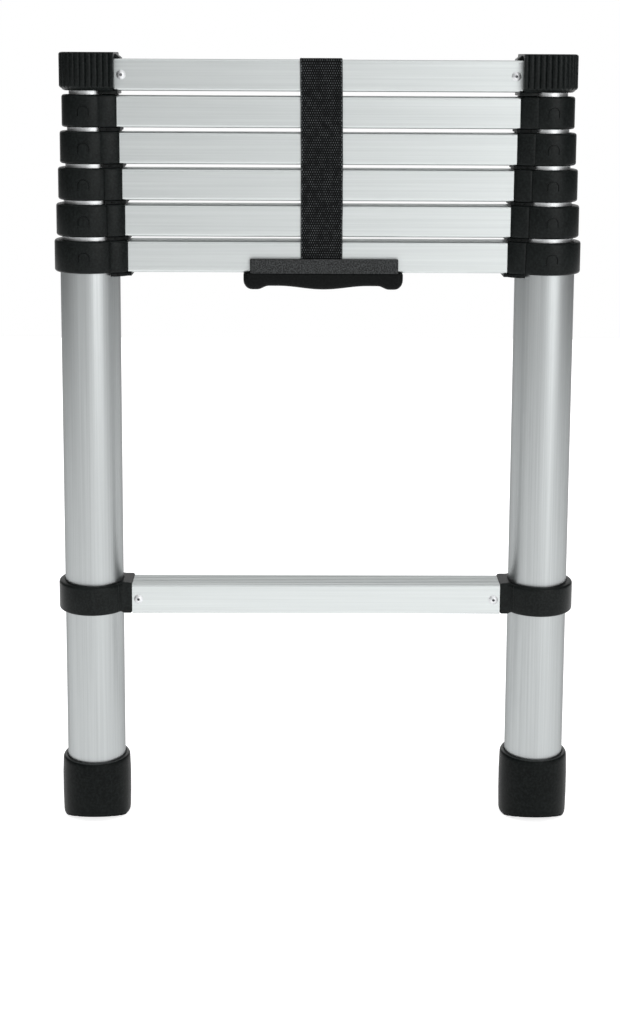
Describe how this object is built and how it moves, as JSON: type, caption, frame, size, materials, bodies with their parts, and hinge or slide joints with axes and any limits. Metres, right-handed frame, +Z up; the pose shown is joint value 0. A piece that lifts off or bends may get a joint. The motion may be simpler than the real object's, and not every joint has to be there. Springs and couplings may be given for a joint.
{
  "type": "telescoping ladder",
  "caption": "Collapsed telescoping ladder: nested round stiles, stacked rungs with latching collars, ribbed end caps, rubber feet, carry handle and strap.",
  "frame": {"origin": "centre of the footprint on the floor, midway between the feet", "axes": "+Z up along the stiles, +X along the rungs, the front faces -Y"},
  "size_m": [0.4482, 0.0612, 0.6684],
  "materials": {
    "tube_aluminium": "satin anodised, drawn along the tube",
    "rung_aluminium": "satin extrusion with fine lengthwise grooves",
    "rivet_aluminium": "bright dome",
    "collar_plastic": "fine moulded grain, satin",
    "cap_plastic": "ribbed, satin",
    "latch_plastic": "satin",
    "glide_plastic": "plain",
    "pin_steel": "ground",
    "spring_steel": "drawn wire",
    "foot_rubber": "matt rubber",
    "handle_plastic": "coarse spark-eroded grain",
    "grip_rubber": "smooth soft grip",
    "strap_webbing": "coarse woven webbing"
  },
  "bodies": {
    "base": {"outer_tubes": "tube_aluminium", "foot_left": "foot_rubber", "foot_right": "foot_rubber", "rung_1": "rung_aluminium", "rung_collars_1": "collar_plastic", "rivets_rung_1": "rivet_aluminium", "rung_2": "rung_aluminium", "rung_collars_2": "collar_plastic", "latch_springs_2": "spring_steel", "handle_saddle": "handle_plastic", "handle_grip": "grip_rubber"},
    "section_2": {"inner_tubes_2": "tube_aluminium", "tube_glides_2": "glide_plastic", "rung_3": "rung_aluminium", "rung_collars_3": "collar_plastic", "latch_springs_3": "spring_steel"},
    "section_3": {"inner_tubes_3": "tube_aluminium", "tube_glides_3": "glide_plastic", "rung_4": "rung_aluminium", "rung_collars_4": "collar_plastic", "latch_springs_4": "spring_steel"},
    "section_4": {"inner_tubes_4": "tube_aluminium", "tube_glides_4": "glide_plastic", "rung_5": "rung_aluminium", "rung_collars_5": "collar_plastic", "latch_springs_5": "spring_steel"},
    "section_5": {"inner_tubes_5": "tube_aluminium", "tube_glides_5": "glide_plastic", "rung_6": "rung_aluminium", "rung_collars_6": "collar_plastic", "latch_springs_6": "spring_steel"},
    "section_6": {"inner_tubes_6": "tube_aluminium", "tube_glides_6": "glide_plastic", "rung_7": "rung_aluminium", "end_caps": "cap_plastic", "rivets_rung_7": "rivet_aluminium", "carry_strap": "strap_webbing"},
    "latch_2_left": {"latch_slider_2_left": "latch_plastic", "lock_pin_2_left": "pin_steel"},
    "latch_2_right": {"latch_slider_2_right": "latch_plastic", "lock_pin_2_right": "pin_steel"},
    "latch_3_left": {"latch_slider_3_left": "latch_plastic", "lock_pin_3_left": "pin_steel"},
    "latch_3_right": {"latch_slider_3_right": "latch_plastic", "lock_pin_3_right": "pin_steel"},
    "latch_4_left": {"latch_slider_4_left": "latch_plastic", "lock_pin_4_left": "pin_steel"},
    "latch_4_right": {"latch_slider_4_right": "latch_plastic", "lock_pin_4_right": "pin_steel"},
    "latch_5_left": {"latch_slider_5_left": "latch_plastic", "lock_pin_5_left": "pin_steel"},
    "latch_5_right": {"latch_slider_5_right": "latch_plastic", "lock_pin_5_right": "pin_steel"},
    "latch_6_left": {"latch_slider_6_left": "latch_plastic", "lock_pin_6_left": "pin_steel"},
    "latch_6_right": {"latch_slider_6_right": "latch_plastic", "lock_pin_6_right": "pin_steel"}
  },
  "joints": [
    {"name": "section_2_slide", "type": "slide", "parent": "base", "child": "section_2", "axis": [0, 0, 1], "range_m": [0, 0.2682]},
    {"name": "section_3_slide", "type": "slide", "parent": "section_2", "child": "section_3", "axis": [0, 0, 1], "range_m": [0, 0.2682]},
    {"name": "section_4_slide", "type": "slide", "parent": "section_3", "child": "section_4", "axis": [0, 0, 1], "range_m": [0, 0.2682]},
    {"name": "section_5_slide", "type": "slide", "parent": "section_4", "child": "section_5", "axis": [0, 0, 1], "range_m": [0, 0.2682]},
    {"name": "section_6_slide", "type": "slide", "parent": "section_5", "child": "section_6", "axis": [0, 0, 1], "range_m": [0, 0.2682]},
    {"name": "latch_2_left_thumb", "type": "slide", "parent": "base", "child": "latch_2_left", "axis": [1, 0, 0], "range_m": [0, 0.003], "stiffness_N_per_m": 600, "springref_m": -0.002, "deforming": ["latch_springs_2"]},
    {"name": "latch_2_right_thumb", "type": "slide", "parent": "base", "child": "latch_2_right", "axis": [-1, 0, 0], "range_m": [0, 0.003], "stiffness_N_per_m": 600, "springref_m": -0.002, "deforming": ["latch_springs_2"]},
    {"name": "latch_3_left_thumb", "type": "slide", "parent": "section_2", "child": "latch_3_left", "axis": [1, 0, 0], "range_m": [0, 0.003], "stiffness_N_per_m": 600, "springref_m": -0.002, "deforming": ["latch_springs_3"]},
    {"name": "latch_3_right_thumb", "type": "slide", "parent": "section_2", "child": "latch_3_right", "axis": [-1, 0, 0], "range_m": [0, 0.003], "stiffness_N_per_m": 600, "springref_m": -0.002, "deforming": ["latch_springs_3"]},
    {"name": "latch_4_left_thumb", "type": "slide", "parent": "section_3", "child": "latch_4_left", "axis": [1, 0, 0], "range_m": [0, 0.003], "stiffness_N_per_m": 600, "springref_m": -0.002, "deforming": ["latch_springs_4"]},
    {"name": "latch_4_right_thumb", "type": "slide", "parent": "section_3", "child": "latch_4_right", "axis": [-1, 0, 0], "range_m": [0, 0.003], "stiffness_N_per_m": 600, "springref_m": -0.002, "deforming": ["latch_springs_4"]},
    {"name": "latch_5_left_thumb", "type": "slide", "parent": "section_4", "child": "latch_5_left", "axis": [1, 0, 0], "range_m": [0, 0.003], "stiffness_N_per_m": 600, "springref_m": -0.002, "deforming": ["latch_springs_5"]},
    {"name": "latch_5_right_thumb", "type": "slide", "parent": "section_4", "child": "latch_5_right", "axis": [-1, 0, 0], "range_m": [0, 0.003], "stiffness_N_per_m": 600, "springref_m": -0.002, "deforming": ["latch_springs_5"]},
    {"name": "latch_6_left_thumb", "type": "slide", "parent": "section_5", "child": "latch_6_left", "axis": [1, 0, 0], "range_m": [0, 0.003], "stiffness_N_per_m": 600, "springref_m": -0.002, "deforming": ["latch_springs_6"]},
    {"name": "latch_6_right_thumb", "type": "slide", "parent": "section_5", "child": "latch_6_right", "axis": [-1, 0, 0], "range_m": [0, 0.003], "stiffness_N_per_m": 600, "springref_m": -0.002, "deforming": ["latch_springs_6"]}
  ]
}
